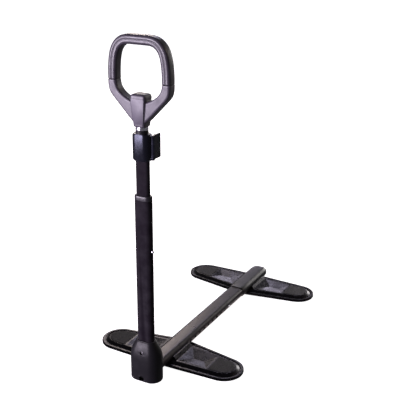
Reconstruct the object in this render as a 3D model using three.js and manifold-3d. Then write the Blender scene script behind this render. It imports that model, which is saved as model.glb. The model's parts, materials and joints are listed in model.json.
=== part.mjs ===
// Free-standing stand-up support handle: a post with a loop handle, on a floor bar with two cross feet.
// Millimetres. +X runs along the feet, +Y along the floor bar away from the post, +Z is up.
// The origin is on the floor, under the middle of the base.
import * as THREE from "three";
import { mergeVertices } from "three/addons/utils/BufferGeometryUtils.js";
import Module from "manifold-3d";

const wasm = await Module();
wasm.setup();

// ---------------------------------------------------------------- driving dimensions
const BASE_LENGTH = 680; // boot front to sleeve tip
const WALL = 1.8; // wall of every steel tube
const GAP = 0.3; // play between pieces that are fixed to each other

const BOOT = { width: 80.8, depth: 50.8, height: 103, shoulder: 60, rim: 49, rimDepth: 29 };
const OUTER_POST = { width: 42.6, depth: 22, bottom: 34.6, top: 452 };
const INNER_POST = { width: 33.6, depth: 15, bottom: 262.3, top: 586 };
const HEIGHT_HOLES = [331, 286]; // heights of the snap holes in the outer post
const BUSHING_TOP = 463.5;

const OUTER_BAR = { width: 47, depth: 24, start: -17, end: 487 };
const INNER_BAR = { width: 42.4, depth: 19.4, start: 330, end: 641.5 };
const BAR_Z = 18.5; // height of the bar's axis
const BAR_BUTTON_Y = 389;
const BAR_PITCH = 24;
const BAR_HOLES = 10;
const SLEEVE = { width: 51, depth: 28, start: 482, cavityEnd: 634 };

const FOOT = { length: 396.8, endRadius: 49.5, outer: 54.8, inner: 76.4, bottom: 1.5, rim: 9, deck: 13 };
const FRONT_FOOT_Y = 111.4;
const REAR_FOOT_Y = 578.9;

const COLLAR = { width: 44.8, depth: 29.5, bottom: 544, top: 603, chamfer: 2.2 };
const SPIGOT_RADIUS = 14;
const LEVER = { x: 24.6, y: 3, bottom: 548, top: 602, tip: 27.5, knuckle: 4.4, thickness: 3.4 };

const HUB = { bottom: 618.5, top: 690, topHalf: 18.6, bottomHalf: 14.6, front: 17.4, back: 15 };
const LOOP = { seam: 714, half: 66.2, top: 801.2, width: 21, depth: 26 };
const CORE_RADIUS = 6;

const POST_Y = BOOT.depth / 2 - BASE_LENGTH / 2; // the post's axis, measured from the origin

// ---------------------------------------------------------------- materials
const paint = (color, roughness, metalness = 0) =>
  new THREE.MeshStandardMaterial({ color, roughness, metalness });
const FINISH = {
  tube: () => paint(0x1b191c, 0.32, 0.4),
  moulding: () => paint(0x242228, 0.55),
  handle: () => paint(0x3a3740, 0.62),
  gripRubber: () => paint(0x1d1b1e, 0.8),
  pad: () => paint(0x2b282a, 0.9),
  collar: () => paint(0x17171c, 0.22),
  steel: () => paint(0xb9bbc0, 0.3, 0.9),
  bushing: () => paint(0x2c2a30, 0.4),
};

// ---------------------------------------------------------------- solids
function solid(geometry) {
  const bare = geometry.clone();
  for (const name of Object.keys(bare.attributes)) {
    if (name !== "position") bare.deleteAttribute(name);
  }
  const merged = mergeVertices(bare, 1e-4);
  const mesh = new wasm.Mesh({
    numProp: 3,
    vertProperties: new Float32Array(merged.attributes.position.array),
    triVerts: new Uint32Array(merged.index.array),
  });
  return new wasm.Manifold(mesh);
}

function geometryOf(manifold) {
  const mesh = manifold.getMesh();
  const geometry = new THREE.BufferGeometry();
  geometry.setAttribute("position", new THREE.BufferAttribute(mesh.vertProperties, 3));
  geometry.setIndex(new THREE.BufferAttribute(mesh.triVerts, 1));
  geometry.computeVertexNormals();
  return geometry;
}

const cut = (body, ...tools) => tools.reduce((left, tool) => left.subtract(tool), body);
const join = (body, ...others) => others.reduce((sum, other) => sum.add(other), body);

// A closed solid through rings of equal point counts; the first and last rings are convex and capped flat.
function loft(rings) {
  const count = rings[0].length;
  const positions = rings.flat().flatMap((p) => [p.x, p.y, p.z]);
  const index = [];
  for (let r = 0; r + 1 < rings.length; r += 1) {
    for (let i = 0; i < count; i += 1) {
      const a = r * count + i;
      const b = r * count + ((i + 1) % count);
      index.push(a, b, b + count, a, b + count, a + count);
    }
  }
  const last = (rings.length - 1) * count;
  for (let i = 1; i + 1 < count; i += 1) {
    index.push(0, i + 1, i);
    index.push(last, last + i, last + i + 1);
  }
  const geometry = new THREE.BufferGeometry();
  geometry.setAttribute("position", new THREE.Float32BufferAttribute(positions, 3));
  geometry.setIndex(index);
  return solid(geometry.toNonIndexed());
}

// Counter-clockwise points of an obround: two half circles joined by straight sides along the width.
function obround(width, depth, arcPoints = 10) {
  const radius = depth / 2;
  const reach = width / 2 - radius;
  const points = [];
  for (const side of [1, -1]) {
    for (let i = 0; i <= arcPoints; i += 1) {
      const angle = -Math.PI / 2 + (Math.PI * i) / arcPoints;
      const x = reach + radius * Math.cos(angle);
      points.push(new THREE.Vector2(side * x, side * radius * Math.sin(angle)));
    }
  }
  return points;
}

const ringAtZ = (points, z, x = 0, y = 0) => points.map((p) => new THREE.Vector3(p.x + x, p.y + y, z));
const ringAtY = (points, y, z) => points.map((p) => new THREE.Vector3(p.x, y, z + p.y));

const uprightObround = (width, depth, z0, z1, arcPoints) =>
  loft([ringAtZ(obround(width, depth, arcPoints), z0), ringAtZ(obround(width, depth, arcPoints), z1)]);

// The obround lies with its width level; the ring order makes the caps face out.
const lyingObround = (width, depth, y0, y1, arcPoints) =>
  loft([y1, y0].map((y) => ringAtY(obround(width, depth, arcPoints), y, BAR_Z)));

function box(x0, x1, y0, y1, z0, z1) {
  const geometry = new THREE.BoxGeometry(x1 - x0, y1 - y0, z1 - z0);
  geometry.translate((x0 + x1) / 2, (y0 + y1) / 2, (z0 + z1) / 2);
  return solid(geometry);
}

// A round bar between two points.
function rod(from, to, radius, sides = 20) {
  const start = new THREE.Vector3(...from);
  const end = new THREE.Vector3(...to);
  const axis = end.clone().sub(start);
  const geometry = new THREE.CylinderGeometry(radius, radius, axis.length(), sides);
  const direction = axis.clone().normalize();
  geometry.applyQuaternion(new THREE.Quaternion().setFromUnitVectors(new THREE.Vector3(0, 1, 0), direction));
  geometry.translate(...start.add(end).multiplyScalar(0.5).toArray());
  return solid(geometry);
}

// A turned piece: profile points are [radius, height] along an axis from a point.
function turned(profile, at, direction, sides = 20) {
  const geometry = new THREE.LatheGeometry(profile.map(([r, h]) => new THREE.Vector2(r, h)), sides);
  const turn = new THREE.Quaternion().setFromUnitVectors(
    new THREE.Vector3(0, 1, 0),
    new THREE.Vector3(...direction).normalize(),
  );
  geometry.applyQuaternion(turn);
  geometry.translate(...at);
  return solid(geometry);
}

// An outline in the XZ plane, extruded along Y between two faces with rounded or chamfered edges.
function frontal(shape, y0, y1, edge = 0, edgeSteps = 2, curveSegments = 8) {
  const geometry = new THREE.ExtrudeGeometry(shape, {
    depth: y1 - y0 - 2 * edge,
    bevelEnabled: edge > 0,
    bevelThickness: edge,
    bevelSize: edge,
    bevelOffset: -edge,
    bevelSegments: edgeSteps,
    curveSegments,
  });
  geometry.rotateX(Math.PI / 2);
  geometry.translate(0, y1 - edge, 0);
  return solid(geometry);
}

// Room for a tube to pass through, with play all round.
const roomFor = (tube, play = GAP) => [tube.width + 2 * play, tube.depth + 2 * play];

// What fits inside a tube, with play all round.
const plugFor = (tube, play = GAP) => [tube.width - 2 * WALL - 2 * play, tube.depth - 2 * WALL - 2 * play];

const object = new THREE.Group();
object.position.y = POST_Y;

function add(name, manifold, finish) {
  const mesh = new THREE.Mesh(geometryOf(manifold), FINISH[finish]());
  mesh.name = name;
  object.add(mesh);
}

// ---------------------------------------------------------------- boot and post
const tubeBore = (tube) => [tube.width - 2 * WALL, tube.depth - 2 * WALL];

function bootShell() {
  const outline = (width, depth, z) => ringAtZ(obround(width, depth, 12), z);
  const shell = loft([
    outline(BOOT.width - 5, BOOT.depth - 5, 0),
    outline(BOOT.width - 1.4, BOOT.depth - 1.4, 1.2),
    outline(BOOT.width, BOOT.depth, 4),
    outline(BOOT.width, BOOT.depth, BOOT.shoulder - 6),
    outline(BOOT.width - 1.8, BOOT.depth - 1.5, BOOT.shoulder + 6),
    outline(BOOT.width - 6.4, BOOT.depth - 5, BOOT.shoulder + 17),
    outline(BOOT.width - 16, BOOT.depth - 11.4, BOOT.shoulder + 28),
    outline(BOOT.rim + 4.6, BOOT.rimDepth + 3.4, BOOT.height - 6),
    outline(BOOT.rim + 1.2, BOOT.rimDepth + 1, BOOT.height - 2.6),
    outline(BOOT.rim + 1.2, BOOT.rimDepth + 1, BOOT.height - 0.8),
    outline(BOOT.rim - 0.4, BOOT.rimDepth - 0.6, BOOT.height),
  ]);
  const hollow = loft([
    outline(BOOT.width - 6, BOOT.depth - 6, -1),
    outline(BOOT.width - 6, BOOT.depth - 6, BOOT.shoulder - 10),
    outline(BOOT.rim + 4, BOOT.rimDepth + 4, BOOT.shoulder + 8),
  ]);
  const postHole = uprightObround(...roomFor(OUTER_POST), 40, BOOT.height + 1);
  const barHole = lyingObround(...roomFor(OUTER_BAR), 0, BOOT.depth);
  const screwHole = join(
    rod([0, -BOOT.depth, SCREW.z], [0, -17.5, SCREW.z], SCREW.head + GAP),
    rod([0, -18, SCREW.z], [0, 0, SCREW.z], SCREW.shank + GAP),
  );
  const front = -BOOT.depth / 2;
  const arch = new THREE.Shape();
  arch.moveTo(-6.5, -1);
  arch.lineTo(6.5, -1);
  arch.lineTo(6.5, 9);
  arch.absarc(0, 9, 6.5, 0, Math.PI, false);
  arch.lineTo(-6.5, -1);
  return cut(shell, hollow, postHole, barHole, screwHole, frontal(arch, front - 2, front + 8));
}

const SCREW = { z: 75, head: 3.6, shank: 2.2 };

// The steel foot that stands on the bar and plugs into the post.
function postSocket() {
  const barTop = BAR_Z + OUTER_BAR.depth / 2;
  const foot = uprightObround(46, 26, barTop + GAP, OUTER_POST.bottom - GAP);
  const stub = uprightObround(...plugFor(OUTER_POST), barTop + 1, 92);
  const lightening = uprightObround(...plugFor(OUTER_POST, 3.5), 40, 93);
  return cut(join(foot, stub), lightening, rod([0, -20, SCREW.z], [0, 0, SCREW.z], SCREW.shank + GAP));
}

function outerPost() {
  const [boreWidth, boreDepth] = tubeBore(OUTER_POST);
  const tube = cut(
    uprightObround(OUTER_POST.width, OUTER_POST.depth, OUTER_POST.bottom, OUTER_POST.top),
    uprightObround(boreWidth, boreDepth, OUTER_POST.bottom - 1, OUTER_POST.top + 1),
    rod([0, -20, SCREW.z], [0, 0, SCREW.z], SCREW.shank + GAP),
  );
  return cut(tube, ...HEIGHT_HOLES.map((z) => rod([-30, 0, z], [30, 0, z], BUTTON.radius + 0.4, 16)));
}

function postBushing() {
  const lip = loft([
    ringAtZ(obround(OUTER_POST.width, OUTER_POST.depth), OUTER_POST.top + GAP),
    ringAtZ(obround(OUTER_POST.width, OUTER_POST.depth), BUSHING_TOP - 3),
    ringAtZ(obround(OUTER_POST.width - 1.2, OUTER_POST.depth - 1.2), BUSHING_TOP - 1),
    ringAtZ(obround(OUTER_POST.width - 3.4, OUTER_POST.depth - 3.4), BUSHING_TOP),
  ]);
  const liner = uprightObround(...plugFor(OUTER_POST), OUTER_POST.top - 40, OUTER_POST.top + 2);
  const hole = uprightObround(...roomFor(INNER_POST), 300, BUSHING_TOP + 1);
  return cut(join(lip, liner), hole);
}

// A pan-headed screw along a direction; the head's top is at the given point and the shank runs on from it.
function screw(at, direction, head, headHeight, shank, length) {
  const profile = [
    [0, 0.9],
    [head * 0.45, 0.9],
    [head * 0.45, 0],
    [head * 0.8, 0],
    [head, headHeight * 0.4],
    [head, headHeight],
    [shank, headHeight],
    [shank, length - 0.6],
    [shank * 0.6, length],
    [0, length],
  ];
  return turned(profile, at, direction, 10);
}

const BUTTON = { radius: 3.8, proud: 3, inset: 3.2, flange: 1.4 };

// A snap button on a side of a tube: flange inside the tube, domed head through both walls.
function snapButton(side, innerTube, outerTube, y, z) {
  const tip = outerTube.width / 2 + BUTTON.proud;
  const flangeFace = innerTube.width / 2 - WALL - BUTTON.inset;
  const r = BUTTON.radius;
  const profile = [
    [0, flangeFace - BUTTON.flange],
    [r + 1.1, flangeFace - BUTTON.flange],
    [r + 1.1, flangeFace],
    [r, flangeFace],
    [r, tip - 2],
    [r * 0.86, tip - 0.9],
    [r * 0.5, tip - 0.2],
    [0, tip],
  ];
  return turned(profile, [0, y, z], [side, 0, 0], 14);
}

// A folded strip of spring steel inside the inner post, behind both buttons.
function postSpring() {
  const half = INNER_POST.width / 2 - WALL - BUTTON.inset - BUTTON.flange - GAP;
  const z = HEIGHT_HOLES[0];
  const strip = new THREE.Shape();
  strip.moveTo(-half, z + 7);
  strip.lineTo(-half, z - 7);
  strip.lineTo(-2.6, z - 34);
  strip.absarc(0, z - 35, 3, Math.PI, 2 * Math.PI, false);
  strip.lineTo(half, z - 7);
  strip.lineTo(half, z + 7);
  strip.lineTo(half - 0.9, z + 7);
  strip.lineTo(half - 0.9, z - 6.6);
  strip.lineTo(2, z - 33.4);
  strip.absarc(0, z - 35, 2, 0, Math.PI, true);
  strip.lineTo(-half + 0.9, z - 6.6);
  strip.lineTo(-half + 0.9, z + 7);
  strip.lineTo(-half, z + 7);
  return frontal(strip, -4, 4);
}

function innerPost() {
  const { width, depth, bottom, top } = INNER_POST;
  const z = HEIGHT_HOLES[0];
  const tube = uprightObround(width, depth, bottom, top);
  const bore = uprightObround(...tubeBore(INNER_POST), bottom - 1, top + 1);
  return cut(tube, bore, rod([-30, 0, z], [30, 0, z], BUTTON.radius + 0.4, 16));
}

// The plastic foot that keeps the inner post centred in the outer one.
function postGlide() {
  const { bottom } = INNER_POST;
  const flange = uprightObround(...plugFor(OUTER_POST, 0.5), bottom - 6, bottom - GAP);
  return join(flange, uprightObround(...plugFor(INNER_POST), bottom - 1, bottom + 18));
}

// ---------------------------------------------------------------- collar, lever and swivel
const PIN = { radius: 2, x: LEVER.x, y: LEVER.y };
const SWIVEL = {
  plugTop: 588.1,
  spigotBottom: 588.7,
  spigotFloor: 597,
  spigotTop: 640,
  headTop: 603,
  stemRadius: 11,
};

function collarBody() {
  const { width, depth, bottom, top, chamfer } = COLLAR;
  const ring = (shrink, z) => ringAtZ(obround(width - 2 * shrink, depth - 2 * shrink, 12), z);
  const block = loft([
    ring(chamfer, bottom),
    ring(0, bottom + chamfer),
    ring(0, top - chamfer),
    ring(chamfer, top),
  ]);
  const lug = (z0, z1) =>
    join(
      rod([PIN.x, PIN.y, z0], [PIN.x, PIN.y, z1], LEVER.knuckle),
      box(width / 2 - 8, PIN.x, PIN.y - LEVER.knuckle, PIN.y + LEVER.knuckle, z0, z1),
    );
  const seat = uprightObround(...roomFor(INNER_POST), bottom - 1, SWIVEL.plugTop + GAP);
  const socket = rod([0, 0, 587], [0, 0, top + 1], SPIGOT_RADIUS + 0.35, 48);
  const split = box(0, width, 9.4, 10.9, bottom - 1, top + 1);
  const window = rod([PIN.x, PIN.y, 552], [PIN.x, PIN.y, 598], LEVER.knuckle + 1.1, 24);
  const pinHole = rod([PIN.x, PIN.y, bottom - 1], [PIN.x, PIN.y, top + 1], PIN.radius + GAP, 16);
  const lugs = [lug(bottom + 2, 552), lug(598, top - 2)];
  return cut(join(block, ...lugs), seat, socket, split, window, pinHole);
}

function clampLever() {
  const { x, y, bottom, top, tip, knuckle, thickness } = LEVER;
  const plan = new THREE.Shape();
  plan.moveTo(x - 1.2, y);
  plan.lineTo(x + knuckle, y);
  plan.bezierCurveTo(x + knuckle, y + 9, x + knuckle - 0.6, y + 16, x + knuckle + 0.6, tip);
  plan.lineTo(x + knuckle + 0.6 - thickness, tip);
  plan.bezierCurveTo(x + 1, y + 18, x + 0.4, y + 13, x - 1.2, y + 8);
  plan.lineTo(x - 1.2, y);
  const blade = new THREE.ExtrudeGeometry(plan, {
    depth: top - bottom - 3,
    bevelThickness: 1.5,
    bevelSize: 0.8,
    bevelOffset: -0.8,
    bevelSegments: 2,
    curveSegments: 8,
  });
  blade.translate(0, 0, bottom + 1.5);
  const lugRoom = LEVER.knuckle + 1.2;
  const knuckleRod = rod([x, y, 552.6], [x, y, 597.4], knuckle, 24);
  const paddle = cut(
    solid(blade),
    rod([x, y, bottom - 1], [x, y, 552.6], lugRoom),
    rod([x, y, 597.4], [x, y, top + 1], lugRoom),
  );
  return cut(join(knuckleRod, paddle), rod([x, y, bottom - 1], [x, y, top + 1], PIN.radius + GAP, 16));
}

function leverPin() {
  return rod([PIN.x, PIN.y, COLLAR.bottom + 2.4], [PIN.x, PIN.y, COLLAR.top - 2.4], PIN.radius, 16);
}

// The plug in the top of the inner post, which the swivel turns on.
function postTopPlug() {
  const { width, depth, top } = INNER_POST;
  const flange = uprightObround(width, depth, top + GAP, SWIVEL.plugTop);
  const stem = uprightObround(...plugFor(INNER_POST), top - 28, top + 1);
  return cut(join(flange, stem), rod([0, 0, 500], [0, 0, 600], 3.3, 18));
}

function swivelBolt() {
  const { headTop, spigotFloor } = SWIVEL;
  const headHeight = headTop - spigotFloor - GAP;
  return screw([0, 0, headTop], [0, 0, -1], 6.2, headHeight, 3, headTop - INNER_POST.top + 24);
}

function neckSpigot() {
  const { spigotBottom, spigotTop, spigotFloor, stemRadius } = SWIVEL;
  return cut(
    join(
      rod([0, 0, spigotBottom], [0, 0, HUB.bottom - GAP], SPIGOT_RADIUS, 40),
      rod([0, 0, spigotBottom + 4], [0, 0, spigotTop], stemRadius, 32),
    ),
    rod([0, 0, spigotFloor], [0, 0, spigotTop + 1], 7.4, 24),
    rod([0, 0, spigotBottom - 1], [0, 0, spigotTop], 3.4, 18),
  );
}

// ---------------------------------------------------------------- handle
// Centre line of the grip above the seams: arms that lean in, rounded shoulders and a level top.
function loopPath() {
  const { top, seam, half } = LOOP;
  const points = [
    [half, seam + 0.8],
    [half, seam + 14],
    [half - 0.7, seam + 28],
    [half - 2.4, seam + 44],
    [half - 5.4, top - 29.5],
    [half - 10.4, top - 18],
    [half - 18.2, top - 8.7],
    [half - 28, top - 2.7],
    [half - 40, top - 0.2],
    [half - 56, top],
  ];
  const mirrored = points.slice().reverse().map(([x, z]) => [-x, z]);
  return new THREE.CatmullRomCurve3([...points, ...mirrored].map(([x, z]) => new THREE.Vector3(x, 0, z)));
}

function roundedSection(width, depth, radius) {
  const shape = new THREE.Shape();
  const x = width / 2 - radius;
  const y = depth / 2 - radius;
  shape.absarc(x, y, radius, 0, Math.PI / 2, false);
  shape.absarc(-x, y, radius, Math.PI / 2, Math.PI, false);
  shape.absarc(-x, -y, radius, Math.PI, 1.5 * Math.PI, false);
  shape.absarc(x, -y, radius, 1.5 * Math.PI, 2 * Math.PI, false);
  return shape;
}

function along(path, shape, steps, curveSegments) {
  const geometry = new THREE.ExtrudeGeometry(shape, { extrudePath: path, steps, curveSegments });
  return solid(geometry);
}

function gripSleeve() {
  const shape = roundedSection(LOOP.depth, LOOP.width, 8.5);
  const bore = new THREE.Path();
  bore.absarc(0, 0, CORE_RADIUS + 0.8, 0, 2 * Math.PI, true);
  shape.holes.push(bore);
  return along(loopPath(), shape, 32, 4);
}

// The steel core fills the grip and plugs into both arms of the yoke.
function gripCore() {
  const circle = new THREE.Shape();
  circle.absarc(0, 0, CORE_RADIUS, 0, 2 * Math.PI, false);
  const arch = along(loopPath(), circle, 32, 5);
  const { seam, half } = LOOP;
  const stub = (side) => rod([side * half, 0, seam + 2], [side * half, 0, seam - 14], CORE_RADIUS - 0.2, 16);
  return join(arch, stub(1), stub(-1));
}

function yokeOutline() {
  const shape = new THREE.Shape();
  const { seam, half, width } = LOOP;
  const outerX = half + width / 2 + 0.4;
  const innerX = half - width / 2 - 0.4;
  shape.moveTo(10, 623);
  shape.lineTo(24, 636.5);
  shape.lineTo(65, 679);
  shape.bezierCurveTo(73.5, 688, outerX, 697, outerX, seam);
  shape.lineTo(innerX, seam);
  shape.bezierCurveTo(innerX, 700, 50, 692, 41, 685.5);
  shape.bezierCurveTo(34, 680.6, 27, 676.6, 16, 673);
  shape.lineTo(-16, 673);
  shape.bezierCurveTo(-27, 676.6, -34, 680.6, -41, 685.5);
  shape.bezierCurveTo(-50, 692, -innerX, 700, -innerX, seam);
  shape.lineTo(-outerX, seam);
  shape.bezierCurveTo(-outerX, 697, -73.5, 688, -65, 679);
  shape.lineTo(-24, 636.5);
  shape.lineTo(-10, 623);
  return shape;
}

// Level ring of the hub: a rounded rectangle that reaches further to the front than to the back.
function hubRing(z, halfWidth, front, back, radius) {
  const points = [];
  const arc = 4;
  const corners = [
    [halfWidth - radius, back - radius, 0],
    [radius - halfWidth, back - radius, 1],
    [radius - halfWidth, radius - front, 2],
    [halfWidth - radius, radius - front, 3],
  ];
  for (const [x, y, quarter] of corners) {
    for (let i = 0; i <= arc; i += 1) {
      const angle = (Math.PI / 2) * (quarter + i / arc);
      points.push(new THREE.Vector3(x + radius * Math.cos(angle), y + radius * Math.sin(angle), z));
    }
  }
  return points;
}

// Front view of the hub's cover: tapered sides and rounded corners.
function coverOutline(grow) {
  const shape = new THREE.Shape();
  const low = COVER.bottomHalf + grow;
  const high = COVER.topHalf + grow;
  const bottom = COVER.bottom - grow;
  const top = COVER.top + grow;
  shape.moveTo(2.6 - low, bottom);
  shape.lineTo(low - 2.6, bottom);
  shape.quadraticCurveTo(low, bottom, low + 0.2, bottom + 2.8);
  shape.lineTo(high - 0.3, top - 3.6);
  shape.quadraticCurveTo(high, top, high - 3.4, top);
  shape.lineTo(3.4 - high, top);
  shape.quadraticCurveTo(-high, top, 0.3 - high, top - 3.6);
  shape.lineTo(-low - 0.2, bottom + 2.8);
  shape.quadraticCurveTo(-low, bottom, 2.6 - low, bottom);
  return shape;
}

const COVER = { bottom: 625, top: 679.5, bottomHalf: 12, topHalf: 16, thickness: 1.8, proud: 0.5 };
const HUB_SCREW_Z = 668;
const HUB_LEAN = Math.atan2(HUB.front - HUB.bottomHalf, 62); // the front face leans out towards its top

// Turns a cover-shaped solid so that it lies on the leaning front face.
function onHubFace(manifold) {
  const turns = (-HUB_LEAN * 180) / Math.PI;
  return manifold.translate([0, 0, -COVER.bottom]).rotate([-turns, 0, 0]).translate([0, 0, COVER.bottom]);
}

function hubFaceY(z) {
  return -HUB.bottomHalf - (z - 620) * Math.tan(HUB_LEAN);
}

function handleYoke() {
  const arms = frontal(yokeOutline(), -LOOP.depth / 2, LOOP.depth / 2, 3.6, 2, 8);
  const { bottom, top, topHalf, bottomHalf, front, back } = HUB;
  const hub = loft([
    hubRing(bottom, bottomHalf - 1.6, bottomHalf - 1.6, bottomHalf - 1.6, 6),
    hubRing(bottom + 2, bottomHalf, bottomHalf, bottomHalf, 6),
    hubRing(top - 9, topHalf, front, back, 5),
    hubRing(top - 5, topHalf - 0.4, front - 0.3, back - 0.5, 5),
    hubRing(top - 2, topHalf - 2.4, front - 2.2, back - 2.4, 5),
    hubRing(top - 0.4, topHalf - 6.4, front - 6, back - 6, 5),
    hubRing(top, topHalf - 11, front - 10.5, back - 9.6, 4),
  ]);
  const { seam, half } = LOOP;
  const socket = (side) =>
    rod([side * half, 0, seam + 1], [side * half, 0, seam - 15], CORE_RADIUS + GAP, 16);
  const spigotHole = rod([0, 0, bottom - 1], [0, 0, SWIVEL.spigotTop + GAP], SWIVEL.stemRadius + GAP, 32);
  const screwHole = join(
    rod([0, back + 1, HUB_SCREW_Z], [0, 10, HUB_SCREW_Z], 3.9, 16),
    rod([0, back + 1, HUB_SCREW_Z], [0, -1.2, HUB_SCREW_Z], 2.2, 12),
  );
  const faceY = hubFaceY(COVER.bottom);
  const coverSeat = frontal(coverOutline(GAP), faceY - 6, faceY + COVER.thickness - COVER.proud + GAP);
  return cut(join(arms, hub), socket(1), socket(-1), spigotHole, onHubFace(coverSeat), screwHole);
}

function hubCover() {
  const faceY = hubFaceY(COVER.bottom);
  const back = faceY + COVER.thickness - COVER.proud;
  return onHubFace(frontal(coverOutline(0), faceY - COVER.proud, back, 0.4, 1, 6));
}

function hubScrew() {
  return screw([0, HUB.back - 1.5, HUB_SCREW_Z], [0, -1, 0], 3.5, 2.4, 1.9, 14);
}

// ---------------------------------------------------------------- floor bar
function lyingTube(tube) {
  const { width, depth, start, end } = tube;
  return cut(lyingObround(width, depth, start, end), lyingObround(...tubeBore(tube), start - 1, end + 1));
}

const snapHole = (y) => rod([10, y, BAR_Z], [40, y, BAR_Z], BUTTON.radius + 0.4, 16);

function outerBar() {
  const holes = [];
  for (let i = 0; i < BAR_HOLES; i += 1) {
    holes.push(snapHole(BAR_BUTTON_Y - BAR_PITCH * i));
  }
  const boltHole = rod([0, FRONT_FOOT_Y, 0], [0, FRONT_FOOT_Y, 12], BAR_BOLT.shank + GAP, 16);
  return cut(lyingTube(OUTER_BAR), ...holes, boltHole);
}

const innerBar = () => cut(lyingTube(INNER_BAR), snapHole(BAR_BUTTON_Y));

// A plastic plug in the front end of a lying tube.
function barPlug(tube, flangeThickness) {
  const { width, depth, start } = tube;
  const flange = lyingObround(width - 0.5, depth - 0.5, start - flangeThickness, start - GAP);
  return join(flange, lyingObround(...plugFor(tube), start - 1, start + 14));
}

// A bowed leaf behind the bar's button, held against the far side of the tube.
function barSpring() {
  const half = INNER_BAR.width / 2 - WALL - BUTTON.inset - BUTTON.flange - GAP;
  const y = BAR_BUTTON_Y;
  const leaf = new THREE.Shape();
  leaf.moveTo(half, y + 7);
  leaf.lineTo(half, y - 7);
  leaf.lineTo(-8, y - 40);
  leaf.lineTo(-half, y - 10);
  leaf.lineTo(-half + 0.9, y - 9.4);
  leaf.lineTo(-7.4, y - 38.4);
  leaf.lineTo(half - 0.9, y - 6.4);
  leaf.lineTo(half - 0.9, y + 7);
  leaf.lineTo(half, y + 7);
  const geometry = new THREE.ExtrudeGeometry(leaf, { depth: 8, bevelEnabled: false });
  geometry.translate(0, 0, BAR_Z - 4);
  return solid(geometry);
}

// The moulded end of the bar: a sleeve that passes over the outer tube, with a rounded nose.
function rearSleeve() {
  const { width, depth, start, cavityEnd } = SLEEVE;
  const tip = BASE_LENGTH - BOOT.depth / 2;
  const nose = [
    [0, 0.53, 0.6],
    [2.2, 0.7, 0.76],
    [6.5, 0.84, 0.88],
    [12.5, 0.93, 0.95],
    [19, 0.98, 0.985],
    [27, 1, 1],
  ];
  const rings = nose.map(([back, w, d]) => ringAtY(obround(width * w, depth * d, 10), tip - back, BAR_Z));
  rings.push(ringAtY(obround(width, depth, 10), start + 1, BAR_Z));
  rings.push(ringAtY(obround(width - 1.6, depth - 1.6, 10), start, BAR_Z));
  const cavity = lyingObround(...roomFor(OUTER_BAR, 0.4), start - 1, cavityEnd);
  const pocket = lyingObround(...roomFor(INNER_BAR), start, INNER_BAR.end + GAP);
  return cut(loft(rings), cavity, pocket);
}

// ---------------------------------------------------------------- cross feet
const BAR_BOLT = { head: 5, shank: 2.6 };
const PAD = { x: 120, inset: 21, top: 14.1, seat: 12 };
const DECK_INSET = 19;
const RECESS = { x0: 35, x1: 117, valley0: 64, valley1: 94, valleyY: 2, depth: 5 };
const CHEEK = { outer: 35, top: 20.5 };
const SOLE_START = 66;
const UNDER_POCKET = { x0: 40, x1: 62, height: 5 };

// Half-width line of the foot's straight side: its normal's angle and its distance from the middle.
function footSide(half) {
  const reach = FOOT.length / 2 - FOOT.endRadius;
  const angle = Math.atan2(reach, half) + Math.asin(FOOT.endRadius / Math.hypot(reach, half));
  return { angle, distance: half * Math.sin(angle) };
}

const INNER_SIDE = footSide(FOOT.inner);
const OUTER_SIDE = footSide(FOOT.outer);
const sideAt = (side, x, inset) =>
  (side.distance - inset - Math.abs(x) * Math.cos(side.angle)) / Math.sin(side.angle);

// Counter-clockwise outline of the foot, moved in by an inset; facing is +1 where the bulged side faces +Y.
function footOutline(inset, facing, arcPoints = 14) {
  const reach = FOOT.length / 2 - FOOT.endRadius;
  const radius = FOOT.endRadius - inset;
  const up = facing > 0 ? INNER_SIDE : OUTER_SIDE;
  const down = facing > 0 ? OUTER_SIDE : INNER_SIDE;
  const points = [];
  for (let i = 0; i <= arcPoints; i += 1) {
    const angle = -down.angle + ((down.angle + up.angle) * i) / arcPoints;
    points.push(new THREE.Vector2(reach + radius * Math.cos(angle), radius * Math.sin(angle)));
  }
  points.push(new THREE.Vector2(0, sideAt(up, 0, inset)));
  for (let i = 0; i <= arcPoints; i += 1) {
    const angle = Math.PI - up.angle + ((down.angle + up.angle) * i) / arcPoints;
    points.push(new THREE.Vector2(-reach + radius * Math.cos(angle), radius * Math.sin(angle)));
  }
  points.push(new THREE.Vector2(0, -sideAt(down, 0, inset)));
  return points;
}

function footLayers(layers, footY, facing) {
  return loft(layers.map(([inset, z]) => ringAtZ(footOutline(inset, facing), z, 0, footY)));
}

// A hipped hollow: four sloping faces that meet in a short valley.
function hippedRecess(side, footY, facing) {
  const { x0, x1, valley0, valley1, valleyY, depth } = RECESS;
  const z = FOOT.deck + 0.5;
  const bulge = (x) => footY + facing * sideAt(INNER_SIDE, x, PAD.inset);
  const flat = (x) => footY - facing * sideAt(OUTER_SIDE, x, PAD.inset);
  const valleyLine = footY + facing * valleyY;
  const corner = (x, y, height) => [side * x, y, height];
  const low = FOOT.deck - depth;
  const points = [
    corner(x0, bulge(x0), z),
    corner(x1, bulge(x1), z),
    corner(x1, flat(x1), z),
    corner(x0, flat(x0), z),
    corner(valley0, valleyLine, low),
    corner(valley1, valleyLine, low),
  ];
  const faces = [
    [0, 3, 2],
    [0, 2, 1],
    [0, 4, 3],
    [1, 2, 5],
    [0, 1, 5],
    [0, 5, 4],
    [3, 4, 5],
    [3, 5, 2],
  ];
  const flip = side * facing < 0;
  const positions = faces.flatMap((face) => (flip ? [...face].reverse() : face)).flatMap((i) => points[i]);
  const geometry = new THREE.BufferGeometry();
  geometry.setAttribute("position", new THREE.Float32BufferAttribute(positions, 3));
  return solid(geometry);
}

// Everything further out along X than a given distance.
function beyond(side, x, y) {
  const [low, high] = side > 0 ? [x, 300] : [-300, -x];
  return box(low, high, y - 150, y + 150, -5, 40);
}

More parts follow.
